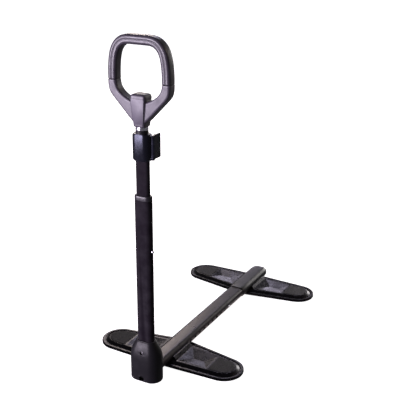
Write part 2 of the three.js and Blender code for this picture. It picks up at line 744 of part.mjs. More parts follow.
function gripPad(side, footY, facing) {
  const layers = [
    [PAD.inset, PAD.seat + GAP],
    [PAD.inset, PAD.top - 0.6],
    [PAD.inset + 0.8, PAD.top],
  ];
  return footLayers(layers, footY, facing).intersect(beyond(side, PAD.x, footY));
}

function sole(side, footY, facing) {
  const layers = [
    [9, 0],
    [8.4, 0.6],
    [8.4, 2.9],
  ];
  return footLayers(layers, footY, facing).intersect(beyond(side, SOLE_START, footY));
}

// Where the screws that hold the cheeks come up through the foot.
const cheekScrew = (side, footY, facing) => [side * 30, footY + facing * 4];

function frontFootPlate() {
  const plate = footPlate(FRONT_FOOT_Y, 1, OUTER_BAR);
  return cut(
    plate,
    rod([0, FRONT_FOOT_Y, 0], [0, FRONT_FOOT_Y, 4], BAR_BOLT.head + GAP, 18),
    rod([0, FRONT_FOOT_Y, 0], [0, FRONT_FOOT_Y, 12], BAR_BOLT.shank + GAP, 16),
  );
}

function footPlate(footY, facing, channel) {
  const layers = [
    [1.2, FOOT.bottom],
    [0, FOOT.bottom + 1.2],
    [0, FOOT.rim - 1.8],
    [0.7, FOOT.rim - 0.5],
    [2, FOOT.rim],
    [7.4, FOOT.rim],
    [8.6, FOOT.rim - 1.8],
    [10, FOOT.rim - 1.8],
    [11.2, FOOT.rim - 0.4],
    [DECK_INSET - 1.6, FOOT.deck - 0.8],
    [DECK_INSET, FOOT.deck],
  ];
  let plate = footLayers(layers, footY, facing);
  for (const side of [1, -1]) {
    const seat = footLayers([[PAD.inset - GAP, PAD.seat], [PAD.inset - GAP, 20]], footY, facing);
    const soleSeat = footLayers([[8.1, 0], [8.1, 3.2]], footY, facing);
    const [screwX, screwY] = cheekScrew(side, footY, facing);
    plate = cut(
      plate,
      hippedRecess(side, footY, facing),
      seat.intersect(beyond(side, PAD.x - GAP, footY)),
      soleSeat.intersect(beyond(side, SOLE_START - GAP, footY)),
      rod([screwX, screwY, 0], [screwX, screwY, 5], 4.2, 18),
      rod([screwX, screwY, 0], [screwX, screwY, 20], 2.1, 14),
    );
    const pocket = footLayers([[14, 0], [14, UNDER_POCKET.height]], footY, facing);
    const middle = (side * (UNDER_POCKET.x0 + UNDER_POCKET.x1)) / 2;
    const half = (UNDER_POCKET.x1 - UNDER_POCKET.x0) / 2;
    plate = cut(plate, pocket.intersect(box(middle - half, middle + half, 0, 700, -1, 10)));
  }
  return cut(plate, lyingObround(...roomFor(channel), footY - 120, footY + 120));
}

// A wedge beside the bar that holds it in the foot's channel.
function cheek(side, footY, facing, channel) {
  const base = FOOT.deck + GAP;
  const ring = (outer, z, trim) => {
    const y0 = footY - facing * (sideAt(OUTER_SIDE, 30, DECK_INSET) - trim);
    const y1 = footY + facing * (sideAt(INNER_SIDE, 30, DECK_INSET) - trim);
    const [low, high] = [Math.min(y0, y1), Math.max(y0, y1)];
    const [left, right] = side > 0 ? [10, outer] : [-outer, -10];
    return [
      new THREE.Vector3(left, low, z),
      new THREE.Vector3(right, low, z),
      new THREE.Vector3(right, high, z),
      new THREE.Vector3(left, high, z),
    ];
  };
  const wedge = loft([
    ring(CHEEK.outer, base, 1),
    ring(CHEEK.outer - 1, base + 1.5, 1.5),
    ring(CHEEK.outer - 7, CHEEK.top, 4),
  ]);
  const [screwX, screwY] = cheekScrew(side, footY, facing);
  const trough = lyingObround(...roomFor(channel), footY - 120, footY + 120);
  return cut(wedge, trough, rod([screwX, screwY, 10], [screwX, screwY, 17.6], 1.9, 14));
}

const frontBarBolt = () =>
  screw([0, FRONT_FOOT_Y, 1.8], [0, 0, 1], BAR_BOLT.head, 2, BAR_BOLT.shank, 10);

function addFootPieces(prefix, footY, facing, channel) {
  for (const [word, side] of [["right", 1], ["left", -1]]) {
    const [x, y] = cheekScrew(side, footY, facing);
    add(`${prefix}_grip_pad_${word}`, gripPad(side, footY, facing), "pad");
    add(`${prefix}_sole_${word}`, sole(side, footY, facing), "pad");
    add(`${prefix}_bar_cheek_${word}`, cheek(side, footY, facing, channel), "moulding");
    add(`${prefix}_cheek_screw_${word}`, screw([x, y, 1.8], [0, 0, 1], 3.8, 2.8, 1.6, 15), "steel");
  }
}

// ---------------------------------------------------------------- assembly
add("boot_shell", bootShell(), "moulding");
add("post_socket", postSocket(), "steel");
add("boot_screw", screw([0, -20.4, SCREW.z], [0, 1, 0], SCREW.head, 2.6, SCREW.shank, 15), "steel");
add("outer_post_tube", outerPost(), "tube");
add("post_bushing", postBushing(), "bushing");
add("outer_bar_tube", outerBar(), "tube");
add("outer_bar_plug", barPlug(OUTER_BAR, 3), "moulding");
add("inner_post_tube", innerPost(), "tube");
add("post_glide", postGlide(), "bushing");
add("post_spring", postSpring(), "steel");
add("post_button_right", snapButton(1, INNER_POST, OUTER_POST, 0, HEIGHT_HOLES[0]), "steel");
add("post_button_left", snapButton(-1, INNER_POST, OUTER_POST, 0, HEIGHT_HOLES[0]), "steel");
add("post_top_plug", postTopPlug(), "bushing");
add("swivel_bolt", swivelBolt(), "steel");
add("collar", collarBody(), "collar");
add("clamp_lever", clampLever(), "collar");
add("lever_pin", leverPin(), "steel");
add("neck_spigot", neckSpigot(), "steel");
add("handle_yoke", handleYoke(), "handle");
add("hub_cover", hubCover(), "handle");
add("hub_screw", hubScrew(), "steel");
add("grip_core", gripCore(), "steel");
add("grip_sleeve", gripSleeve(), "gripRubber");
add("inner_bar_tube", innerBar(), "tube");
add("inner_bar_plug", barPlug(INNER_BAR, 4), "bushing");
add("bar_spring", barSpring(), "steel");
add("bar_button", snapButton(1, INNER_BAR, OUTER_BAR, BAR_BUTTON_Y, BAR_Z), "steel");
add("rear_sleeve", rearSleeve(), "moulding");
add("front_foot_plate", frontFootPlate(), "moulding");
addFootPieces("front", FRONT_FOOT_Y, 1, OUTER_BAR);
add("rear_foot_plate", footPlate(REAR_FOOT_Y, -1, SLEEVE), "moulding");
addFootPieces("rear", REAR_FOOT_Y, -1, SLEEVE);
add("front_bar_bolt", frontBarBolt(), "steel");

export default object;
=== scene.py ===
import json
import math

import bmesh
import bpy
from mathutils import Matrix, Vector

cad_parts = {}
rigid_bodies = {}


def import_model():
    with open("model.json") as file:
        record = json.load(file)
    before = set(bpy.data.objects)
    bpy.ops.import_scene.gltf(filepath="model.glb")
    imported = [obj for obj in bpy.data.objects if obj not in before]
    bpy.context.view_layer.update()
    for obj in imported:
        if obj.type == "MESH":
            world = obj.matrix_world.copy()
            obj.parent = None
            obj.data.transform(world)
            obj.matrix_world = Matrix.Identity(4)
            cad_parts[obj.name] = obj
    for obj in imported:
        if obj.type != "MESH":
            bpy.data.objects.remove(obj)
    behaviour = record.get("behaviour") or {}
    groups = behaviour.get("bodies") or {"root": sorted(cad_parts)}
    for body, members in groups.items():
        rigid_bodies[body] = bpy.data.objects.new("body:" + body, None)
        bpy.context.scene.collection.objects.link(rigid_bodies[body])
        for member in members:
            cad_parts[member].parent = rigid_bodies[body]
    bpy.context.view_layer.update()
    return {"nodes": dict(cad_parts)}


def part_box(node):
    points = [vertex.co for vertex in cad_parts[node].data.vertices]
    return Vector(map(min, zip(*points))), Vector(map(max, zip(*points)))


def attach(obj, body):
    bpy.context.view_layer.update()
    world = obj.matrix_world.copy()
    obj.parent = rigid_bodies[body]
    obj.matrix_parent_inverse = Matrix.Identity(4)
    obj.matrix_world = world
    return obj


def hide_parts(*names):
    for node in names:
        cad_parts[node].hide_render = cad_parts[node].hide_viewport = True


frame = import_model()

NODES = frame["nodes"]

# Shapes below are given in millimetres from the post's foot:
# +X along the feet, +Y along the floor bar, +Z up.
MM = 0.001
WELD = 1e-6  # metres: points closer than this are one
TIP = 0.02  # radius of the cap that stands in for a turned shape's point
_low, _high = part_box("outer_post_tube")
POST_Y = (_low.y + _high.y) / 2
TAU = 2 * math.pi


def point(x, y, z):
    """Millimetres from the post's foot, as metres in the frame."""
    return Vector((x * MM, y * MM + POST_Y, z * MM))


# ---------------------------------------------------------------- mesh tools
def new_object(name, bm):
    mesh = bpy.data.meshes.new(name)
    bmesh.ops.remove_doubles(bm, verts=bm.verts, dist=WELD)
    bmesh.ops.recalc_face_normals(bm, faces=bm.faces)
    bm.to_mesh(mesh)
    bm.free()
    obj = bpy.data.objects.new(name, mesh)
    bpy.context.scene.collection.objects.link(obj)
    return obj


def loft(name, rings, closed=False):
    """Skins rings of equal point counts.

    A closed loft runs back to its first ring; an open one is capped.
    """
    bm = bmesh.new()
    rows = [[bm.verts.new(point(*p)) for p in ring] for ring in rings]
    pairs = list(zip(rows, rows[1:])) + ([(rows[-1], rows[0])] if closed else [])
    count = len(rows[0])
    for a, b in pairs:
        for i in range(count):
            j = (i + 1) % count
            bm.faces.new((a[i], a[j], b[j], b[i]))
    if not closed:
        bm.faces.new(list(reversed(rows[0])))
        bm.faces.new(rows[-1])
    return new_object(name, bm)


def obround(width, depth, arc=20):
    """The outline of a flat-sided tube: two half circles and two straight sides."""
    radius = depth / 2
    reach = width / 2 - radius
    points = []
    for side in (1, -1):
        for i in range(arc + 1):
            angle = -math.pi / 2 + math.pi * i / arc
            points.append((side * (reach + radius * math.cos(angle)), side * radius * math.sin(angle)))
    return points


def level(points, z, x=0, y=0):
    """An outline laid flat at a height."""
    return [(px + x, py + y, z) for px, py in points]


def prism(name, outline, along, low, high):
    """Extrudes an outline: along y it is (x, z), along z it is (x, y)."""
    place = {
        "y": lambda a, b, c: (a, c, b),
        "z": lambda a, b, c: (a, b, c),
    }[along]
    return loft(name, [[place(a, b, c) for a, b in outline] for c in (low, high)])


def circle(centre, side, other, radius, sides):
    turns = (TAU * i / sides for i in range(sides))
    return [tuple(centre + radius * (math.cos(t) * side + math.sin(t) * other)) for t in turns]


def rod(name, start, end, radius, sides=40):
    a, b = Vector(start), Vector(end)
    axis = (b - a).normalized()
    side = axis.orthogonal().normalized()
    other = axis.cross(side)
    return loft(name, [circle(centre, side, other, radius, sides) for centre in (a, b)])


def lathe(name, profile, at, axis, sides=48):
    """Turns a profile of (radius, height) round an axis; a radius of 0 becomes a very small cap."""
    axis = Vector(axis).normalized()
    side = axis.orthogonal().normalized()
    other = axis.cross(side)
    rings = []
    for radius, height in profile:
        centre = Vector(at) + axis * height
        rings.append(circle(centre, side, other, max(radius, TIP), sides))
    return loft(name, rings)


def freeze(obj):
    """Applies an object's modifiers to its mesh."""
    graph = bpy.context.evaluated_depsgraph_get()
    graph.update()
    mesh = bpy.data.meshes.new_from_object(obj.evaluated_get(graph))
    obj.modifiers.clear()
    obj.data = mesh
    return obj


def boolean(obj, tools, operation="DIFFERENCE"):
    """Applies tools one by one, and removes them."""
    for tool in tools:
        modifier = obj.modifiers.new("cut", "BOOLEAN")
        modifier.operation = operation
        modifier.solver = "EXACT"
        modifier.object = tool
        freeze(obj)
        bpy.data.objects.remove(tool)
    return obj


def bevel_sharp(obj, width, degrees=40, segments=3, where=None):
    """Rounds the edges that turn more than an angle, or only those of them that a test picks."""
    bm = bmesh.new()
    bm.from_mesh(obj.data)
    bmesh.ops.remove_doubles(bm, verts=bm.verts, dist=2 * WELD)
    bmesh.ops.dissolve_degenerate(bm, edges=bm.edges, dist=2 * WELD)
    limit = math.radians(degrees)
    edges = []
    for edge in bm.edges:
        if len(edge.link_faces) == 2 and edge.calc_face_angle(0) > limit:
            middle = (edge.verts[0].co + edge.verts[1].co) / 2
            if where is None or where(middle.x / MM, (middle.y - POST_Y) / MM, middle.z / MM):
                edges.append(edge)
    bmesh.ops.bevel(
        bm,
        geom=edges,
        offset=width * MM,
        segments=segments,
        profile=0.5,
        affect="EDGES",
        clamp_overlap=True,
    )
    bm.to_mesh(obj.data)
    bm.free()
    return obj


def smooth(obj, degrees=35, flat_area=None):
    """Shades smooth, with a crease wherever the surface turns more than an angle.

    Faces larger than flat_area, in square millimetres, stay flat.
    """
    bm = bmesh.new()
    bm.from_mesh(obj.data)
    for face in bm.faces:
        face.smooth = flat_area is None or face.calc_area() < flat_area * MM * MM
    for edge in bm.edges:
        edge.smooth = len(edge.link_faces) == 2 and edge.calc_face_angle(0) < math.radians(degrees)
    bm.to_mesh(obj.data)
    bm.free()
    return obj


def spline(table, steps):
    """Catmull-Rom samples of a table of rows."""

    def between(a, b, c, d, t):
        bend = (2 * a - 5 * b + 4 * c - d) * t * t
        return 0.5 * (2 * b + (c - a) * t + bend + (3 * b - a - 3 * c + d) * t**3)

    rows = [table[0]] + list(table) + [table[-1]]
    out = []
    for k in range(1, len(rows) - 2):
        for s in range(steps):
            out.append(tuple(between(*column, s / steps) for column in zip(*rows[k - 1 : k + 3])))
    out.append(tuple(table[-1]))
    return out


def bezier(a, b, c, d, steps=10):
    """Points of a Bezier curve, without its first."""
    out = []
    for i in range(1, steps + 1):
        t = i / steps
        s = 1 - t
        j, k, m, n = s**3, 3 * s * s * t, 3 * s * t * t, t**3
        out.append(tuple(j * p + k * q + m * r + n * w for p, q, r, w in zip(a, b, c, d)))
    return out


# ---------------------------------------------------------------- materials
def principled(name):
    material = bpy.data.materials.new(name)
    material.use_nodes = True
    return material, material.node_tree, material.node_tree.nodes["Principled BSDF"]


def coords(tree, stretch=(1, 1, 1)):
    texture = tree.nodes.new("ShaderNodeTexCoord")
    mapping = tree.nodes.new("ShaderNodeMapping")
    mapping.inputs["Scale"].default_value = stretch
    tree.links.new(texture.outputs["Object"], mapping.inputs["Vector"])
    return mapping.outputs["Vector"]


def noise(tree, vector, scale, detail=3.0, rough=0.55):
    node = tree.nodes.new("ShaderNodeTexNoise")
    node.inputs["Scale"].default_value = scale
    node.inputs["Detail"].default_value = detail
    node.inputs["Roughness"].default_value = rough
    tree.links.new(vector, node.inputs["Vector"])
    return node.outputs["Fac"]


def remap(tree, value, low, high, from_low=0.3, from_high=0.7):
    """Maps a value's range to another; noise hardly leaves 0.3 to 0.7."""
    node = tree.nodes.new("ShaderNodeMapRange")
    node.inputs["From Min"].default_value = from_low
    node.inputs["From Max"].default_value = from_high
    node.inputs["To Min"].default_value = low
    node.inputs["To Max"].default_value = high
    tree.links.new(value, node.inputs["Value"])
    return node.outputs["Result"]


def scaled(colour, share):
    return tuple(c * share for c in colour)


def mix_colour(tree, factor, a, b):
    node = tree.nodes.new("ShaderNodeMix")
    node.data_type = "RGBA"
    tree.links.new(factor, node.inputs[0])
    for socket, value in ((node.inputs[6], a), (node.inputs[7], b)):
        if isinstance(value, tuple):
            socket.default_value = (*value, 1)
        else:
            tree.links.new(value, socket)
    return node.outputs[2]


def bump(tree, height, strength, distance):
    node = tree.nodes.new("ShaderNodeBump")
    node.inputs["Strength"].default_value = strength
    node.inputs["Distance"].default_value = distance
    tree.links.new(height, node.inputs["Height"])
    return node.outputs["Normal"]


def worn_edges(tree, low=0.52, high=0.62):
    """How far a point is on a convex edge, from 0 to 1, broken up by noise."""
    geometry = tree.nodes.new("ShaderNodeNewGeometry")
    edge = remap(tree, geometry.outputs["Pointiness"], 0, 1, low, high)
    breakup = remap(tree, noise(tree, coords(tree), 45, 3), 0.4, 1, 0.35, 0.65)
    node = tree.nodes.new("ShaderNodeMath")
    node.operation = "MULTIPLY"
    node.use_clamp = True
    tree.links.new(edge, node.inputs[0])
    tree.links.new(breakup, node.inputs[1])
    return node.outputs[0]


def moulded(
    name,
    colour,
    edge_colour,
    roughness,
    grain=2600,
    grain_depth=0.00004,
    specular=0.5,
    tint=(1, 1, 1),
):
    """Moulded plastic: fine grain, faint flow marks, rubbed edges."""
    material, tree, shader = principled(name)
    vector = coords(tree)
    cloud = remap(tree, noise(tree, vector, 22, 4), 0, 1)
    shade = mix_colour(tree, cloud, scaled(colour, 0.86), scaled(colour, 1.16))
    tree.links.new(mix_colour(tree, worn_edges(tree), shade, edge_colour), shader.inputs["Base Color"])
    smudge = noise(tree, vector, 60, 5)
    tree.links.new(remap(tree, smudge, roughness - 0.06, roughness + 0.08), shader.inputs["Roughness"])
    tree.links.new(bump(tree, noise(tree, vector, grain, 2), 0.5, grain_depth), shader.inputs["Normal"])
    shader.inputs["Specular IOR Level"].default_value = specular
    shader.inputs["Specular Tint"].default_value = (*tint, 1)
    return material


def powder_coat(name, colour, roughness, specular, tint):
    """Powder-coated steel: orange peel under a satin gloss, with scuffs in its roughness."""
    material, tree, shader = principled(name)
    vector = coords(tree)
    cloud = remap(tree, noise(tree, vector, 14, 3), 0, 1)
    shade = mix_colour(tree, cloud, scaled(colour, 0.85), scaled(colour, 1.2))
    rubbed = mix_colour(tree, worn_edges(tree, 0.56, 0.7), shade, (0.16, 0.15, 0.17))
    tree.links.new(rubbed, shader.inputs["Base Color"])
    scuffs = noise(tree, vector, 90, 5)
    tree.links.new(remap(tree, scuffs, roughness - 0.03, roughness + 0.05), shader.inputs["Roughness"])
    peel = bump(tree, noise(tree, vector, 700, 2), 0.2, 0.00002)
    tree.links.new(peel, shader.inputs["Normal"])
    shader.inputs["Specular IOR Level"].default_value = specular
    shader.inputs["Specular Tint"].default_value = (*tint, 1)
    return material


def steel(name, colour, roughness, stretch=(1, 1, 1), lines=900):
    """Machined or plated steel with fine drawn lines."""
    material, tree, shader = principled(name)
    cloud = remap(tree, noise(tree, coords(tree), 70, 4), 0, 1)
    shade = mix_colour(tree, cloud, scaled(colour, 0.85), colour)
    tree.links.new(shade, shader.inputs["Base Color"])
    drawn = noise(tree, coords(tree, stretch), lines, 3)
    tree.links.new(remap(tree, drawn, roughness - 0.07, roughness + 0.1), shader.inputs["Roughness"])
    tree.links.new(bump(tree, drawn, 0.25, 0.00004), shader.inputs["Normal"])
    shader.inputs["Metallic"].default_value = 1.0
    return material


def pebbled(name, colour, cell, depth, roughness):
    """Rubber with a close pattern of raised dots; the flat between them is darker, as painted shade."""
    material, tree, shader = principled(name)
    vector = coords(tree)
    cells = tree.nodes.new("ShaderNodeTexVoronoi")
    cells.inputs["Scale"].default_value = cell
    cells.inputs["Randomness"].default_value = 0.55
    tree.links.new(vector, cells.inputs["Vector"])
    dot = remap(tree, cells.outputs["Distance"], 1, 0, 0.15, 0.55)
    cloud = remap(tree, noise(tree, vector, 45, 5), 0, 1)
    shade = mix_colour(tree, cloud, scaled(colour, 0.75), scaled(colour, 1.3))
    # Painted shade: the flat between the raised dots gets a darker copy of the colour.
    dots_and_painted_shade = mix_colour(tree, dot, scaled(colour, 0.55), shade)
    tree.links.new(dots_and_painted_shade, shader.inputs["Base Color"])
    smudge = noise(tree, vector, 240, 3)
    tree.links.new(remap(tree, smudge, roughness - 0.08, roughness + 0.08), shader.inputs["Roughness"])
    tree.links.new(bump(tree, dot, 0.8, depth), shader.inputs["Normal"])
    shader.inputs["Specular IOR Level"].default_value = 0.22
    return material


MATERIAL = {
    "handle": moulded(
        "handle_plastic",
        (0.05, 0.043, 0.06),
        (0.1, 0.09, 0.115),
        0.44,
        grain=1500,
        grain_depth=0.000015,
    ),
    "grip": moulded(
        "grip_plastic",
        (0.035, 0.03, 0.041),
        (0.05, 0.043, 0.058),
        0.36,
        grain=3400,
        grain_depth=0.000002,
        specular=0.36,
    ),
    "cover": moulded(
        "cover_plastic",
        (0.065, 0.056, 0.078),
        (0.12, 0.105, 0.14),
        0.44,
        grain=1500,
        grain_depth=0.000015,
    ),
    "base": moulded(
        "base_plastic",
        (0.005, 0.0042, 0.0058),
        (0.012, 0.0105, 0.0125),
        0.27,
        grain_depth=0.000003,
        specular=0.2,
        tint=(0.88, 0.82, 1),
    ),
    "sleeve": moulded(
        "sleeve_plastic",
        (0.008, 0.0065, 0.0075),
        (0.03, 0.026, 0.028),
        0.36,
        grain_depth=0.000005,
        specular=0.4,
    ),
    "boot": moulded(
        "boot_plastic",
        (0.007, 0.0062, 0.0085),
        (0.03, 0.027, 0.032),
        0.42,
        grain_depth=0.000005,
        specular=0.2,
    ),
    "clamp": moulded(
        "clamp_plastic",
        (0.005, 0.005, 0.008),
        (0.03, 0.03, 0.05),
        0.24,
        grain_depth=0.000004,
        specular=0.34,
        tint=(0.72, 0.77, 1),
    ),
    "bushing": moulded(
        "bushing_plastic", (0.012, 0.011, 0.014), (0.05, 0.046, 0.056), 0.32, specular=0.36
    ),
    "post": powder_coat("post_paint", (0.0055, 0.0038, 0.0065), 0.36, 0.025, (0.95, 0.82, 1)),
    "bar": powder_coat("bar_paint", (0.007, 0.005, 0.006), 0.3, 0.4, (1, 0.9, 0.9)),
    "neck": steel("neck_steel", (0.8, 0.78, 0.88), 0.24, (0.05, 0.05, 1)),
    "steel": steel("zinc_steel", (0.62, 0.61, 0.63), 0.35),
    "button": steel("button_steel", (0.8, 0.79, 0.82), 0.22, (1, 0.1, 0.1)),
    "pad": pebbled("pad_rubber", (0.016, 0.013, 0.0155), 620, 0.0006, 0.6),
    "sole": pebbled("sole_rubber", (0.03, 0.03, 0.03), 240, 0.001, 0.8),
}


def finish_piece(obj, body, nodes, material, degrees=35, flat_area=None):
    """Shades a piece, gives it its material, ties it to its body, and hides the CAD nodes it stands in for.
    """
    smooth(obj, degrees, flat_area)
    obj.data.materials.clear()
    obj.data.materials.append(MATERIAL[material])
    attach(obj, body)
    if nodes:
        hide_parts(*nodes)
    return obj


# ---------------------------------------------------------------- post and boot
# Tubes are obround, as (width, depth); a _WAY is the room that lets one through.
OUTER_POST, INNER_POST, INNER_POST_WAY = (42.6, 22.0), (33.6, 15.0), (34.2, 15.6)
OUTER_BAR, INNER_BAR, OUTER_BAR_WAY = (47, 24), (42.4, 19.4), (47.8, 24.8)
SLEEVE = (51, 28)
WALL = 1.8
BAR_Z = 18.5
POST_HOLES = (331, 286)
BUTTON_Z, BAR_BUTTON_Y = POST_HOLES[0], 389
BUTTON_RADIUS = 3.8
HOLE_RADIUS = BUTTON_RADIUS + 0.5
BOOT_SCREW_Z = 75
SCREW_WAY, SCREW_WELL = 2.6, 3.9  # radii of the room for a screw's shank and head


def lying(points, y):
    """An outline set across the floor bar."""
    return [(px, y, BAR_Z + py) for px, py in points]


def tube_rings(size, low, high, place, lip=0.5):
    """Rings of a tube with softened ends, from the outside round to the bore."""
    width, depth = size
    bore = (width - 2 * WALL, depth - 2 * WALL)
    outside = [(lip, low), (0, low + lip), (0, high - lip), (lip, high)]
    rings = [place(obround(width - 2 * d, depth - 2 * d), at) for d, at in outside]
    rings += [place(obround(*bore), high), place(obround(*bore), low)]
    return rings


def post_hole(z):
    """Right through a post, from side to side."""
    return rod("hole", (-30, 0, z), (30, 0, z), HOLE_RADIUS)


def screw_way(front):
    """From the front of the boot or post to the post's middle."""
    return rod("screw_way", (0, front, BOOT_SCREW_Z), (0, 0, BOOT_SCREW_Z), SCREW_WAY)


outer_post = loft("outer_post", tube_rings(OUTER_POST, 34.6, 452, level), closed=True)
boolean(outer_post, [post_hole(z) for z in POST_HOLES] + [screw_way(-20)])
finish_piece(outer_post, "base", ["outer_post_tube"], "post")

inner_post = loft("inner_post", tube_rings(INNER_POST, 262.3, 586, level), closed=True)
boolean(inner_post, [post_hole(BUTTON_Z)])
finish_piece(inner_post, "stem", ["inner_post_tube"], "post")


def bushing():
    """A rounded rim on the outer post's mouth, and the spigot inside it."""

    def ring(shrink, z):
        return level(obround(OUTER_POST[0] - 2 * shrink, OUTER_POST[1] - 2 * shrink), z)

    foot, seat = 412, 452.3
    bore, spigot = obround(*INNER_POST_WAY), obround(38.4, 17.8)
    profile = [(0, seat), (0, 459.5), (0.3, 461.2), (0.9, 462.5), (1.9, 463.3), (2.6, 463.5)]
    rings = [ring(*row) for row in profile] + [level(bore, 463.0), level(bore, foot)]
    rings += [level(spigot, foot), level(spigot, seat)]
    return loft("bushing", rings, closed=True)


finish_piece(bushing(), "base", ["post_bushing"], "bushing", 50)


def boot():
    """A shell with rounded shoulders, a floor, and an arched notch in front."""
    arc, top, floor = 28, 103, 1.2
    table = [  # (height, width, depth)
        (0.6, 78.2, 48.2),
        (1.6, 79.5, 49.5),
        (5, 80.6, 50.6),
        (30, 80.7, 50.7),
        (54, 80.4, 50.5),
        (66, 79.0, 49.3),
        (77, 74.4, 45.8),
        (88, 64.8, 39.4),
        (95, 57.0, 34.2),
        (99.6, 51.4, 30.4),
        (101.6, 50.2, 30.0),
    ]
    outside = [(0, 76.6, 46.6)] + spline(table, 4) + [(102.6, 49.4, 29.2), (top, 48.2, 28.0)]
    rings = [level(obround(w, d, arc), z) for z, w, d in outside]
    mouth, hollow = obround(43.3, 22.7, arc), obround(74.8, 44.8, arc)
    rings += [level(mouth, top), level(mouth, 70), level(hollow, 50), level(hollow, floor)]
    shell = loft("boot", rings)
    half, spring, foot = 6.5, 9, 0.7
    arch = [(-half, foot)]
    for i in range(17):
        a = math.pi * (1 - i / 16)
        arch.append((half * math.cos(a), spring + half * math.sin(a)))
    arch.append((half, foot))
    tools = [
        prism("arch", arch, "y", -30, -21.8),
        rod("screw_well", (0, -60, BOOT_SCREW_Z), (0, -17.5, BOOT_SCREW_Z), SCREW_WELL),
        screw_way(-18),
        loft("bar_way", [lying(obround(*OUTER_BAR_WAY), y) for y in (5, 40)]),
    ]
    boolean(shell, tools)
    bevel_sharp(shell, 0.7, 48, 3, lambda x, y, z: y < -15 and z < 84)
    return shell


finish_piece(boot(), "base", ["boot_shell"], "boot")


def screw_head(name, at, axis, radius, height):
    """A pan head with a cross recess, and its shank."""
    shank, length = radius * 0.5, 8
    profile = [(0, 0), (radius * 0.55, 0), (radius * 0.82, height * 0.16)]
    profile += [(radius * 0.96, height * 0.45), (radius, height)]
    profile += [(shank, height), (shank, height + length), (0, height + 8.6)]
    head = lathe(name, profile, at, axis)
    axis = Vector(axis).normalized()
    side = axis.orthogonal().normalized()
    for direction in (side, axis.cross(side)):
        other = axis.cross(direction)
        outline = []
        for u, v in ((-0.55, -0.11), (0.55, -0.11), (0.55, 0.11), (-0.55, 0.11)):
            outline.append(Vector(at) + (u * radius) * direction + (v * radius) * other)
        front = [tuple(p - axis) for p in outline]
        back = [tuple(p + axis * height * 0.55) for p in outline]
        boolean(head, [loft("slot", [front, back])])
    return head


boot_screw_head = screw_head("boot_screw_head", (0, -20.4, BOOT_SCREW_Z), (0, 1, 0), 3.6, 2.6)
finish_piece(boot_screw_head, "base", ["boot_screw"], "steel")


# ---------------------------------------------------------------- snap buttons
def snap_button(name, side, inner, outer, y, z):
    """A domed button that stands 3 mm out of the outer tube, with a flange inside the inner one."""
    r, dome, steps = BUTTON_RADIUS, 2.2, 8
    tip = outer[0] / 2 + 3
    flange = inner[0] / 2 - WALL - 3.2
    rim, back = r + 1.1, flange - 1.4
    profile = [(0, back), (rim, back), (rim, flange), (r, flange), (r, tip - dome)]
    for i in range(1, steps + 1):
        a = math.pi / 2 * i / steps
        radius = r * math.cos(a) ** 0.8 if i < steps else 0
        profile.append((radius, tip - dome + dome * math.sin(a)))
    return lathe(name, profile, (0, y, z), (side, 0, 0))


for word, side in (("right", 1), ("left", -1)):
    button = snap_button(f"{word}_snap_button", side, INNER_POST, OUTER_POST, 0, BUTTON_Z)
    finish_piece(button, f"post_button_{word}", [f"post_button_{word}"], "button")
bar_snap_button = snap_button("bar_snap_button", 1, INNER_BAR, OUTER_BAR, BAR_BUTTON_Y, BAR_Z)
finish_piece(bar_snap_button, "bar_button", ["bar_button"], "button")

# ---------------------------------------------------------------- floor bar
BAR_PITCH, BAR_HOLES = 24, 10


def bar_hole(y):
    """Through the right side of a bar only."""
    return rod("hole", (10, y, BAR_Z), (40, y, BAR_Z), HOLE_RADIUS)


outer_bar = loft("outer_bar", tube_rings(OUTER_BAR, -17, 487, lying), closed=True)
boolean(outer_bar, [bar_hole(BAR_BUTTON_Y - BAR_PITCH * i) for i in range(BAR_HOLES)])
finish_piece(outer_bar, "base", ["outer_bar_tube"], "bar")

inner_bar = loft("inner_bar", tube_rings(INNER_BAR, 330, 641.5, lying), closed=True)
boolean(inner_bar, [bar_hole(BAR_BUTTON_Y)])
finish_piece(inner_bar, "rear_base", ["inner_bar_tube"], "bar")


def rear_sleeve():
    """From the nose forward along the outside, then back along the bores."""
    tip, mouth, step = 654.6, 482, 634
    shares = [  # (distance behind the tip, share of the width, share of the depth)
        (0.4, 0.62, 0.68),
        (2.2, 0.7, 0.76),
        (6.5, 0.84, 0.88),
        (12.5, 0.93, 0.95),
        (19, 0.98, 0.985),
        (27, 1, 1),
    ]
    nose = [(tip - back, SLEEVE[0] * w, SLEEVE[1] * d) for back, w, d in shares]
    rings = [lying(obround(27, 16.8), tip), lying(obround(29.6, 18.2), 654.4)]
    rings += [lying(obround(w, d), y) for y, w, d in spline(nose, 4)]
    rings += [lying(obround(*SLEEVE), y) for y in (610, 560, 520, 483.4)]
    rings += [lying(obround(50.6, 27.6), 482.5), lying(obround(49.6, 26.6), mouth)]
    rings += [lying(obround(*OUTER_BAR_WAY), y) for y in (mouth, step)]
    rings += [lying(obround(43, 20), y) for y in (step, 641.8)]
    return loft("rear_sleeve_shell", rings)


finish_piece(rear_sleeve(), "rear_base", ["rear_sleeve"], "sleeve")

# ---------------------------------------------------------------- cross feet
# Seen from above a foot is two round ends joined by two bent sides, which bulge
# most at the middle: the inner side faces the other foot.
END_RADIUS, OUTER_BULGE, INNER_BULGE = 49.35, 54.8, 76.4
FOOT_REACH = 148.9  # from the middle to the centre of a round end
DECK_INSET, DECK = 19, 13
PAD_INSET, PAD_FROM = 21, 120
FOOT_LAYERS = (  # (inset from the edge, height), from the underside up
    *((1.6, 1.5), (0.5, 2.0), (0, 3.0), (0, 7.2), (0.25, 8.0), (0.8, 8.6), (1.7, 8.95)),  # rim
    *((2.6, 9.0), (6.4, 9.0), (7.4, 8.8), (8.1, 8.1), (8.5, 7.2), (9.9, 7.2), (10.4, 8.0)),  # groove
    *((11.0, 8.5), (11.8, 8.9), (17.2, 12.2), (18.0, 12.65), (19.0, 12.92), (20.2, 13.0)),  # slope
)


def foot_side(half):
    """A side's direction and its distance from the middle, from how far it bulges."""
    angle = math.atan2(FOOT_REACH, half) + math.asin(END_RADIUS / math.hypot(FOOT_REACH, half))
    return angle, half * math.sin(angle)


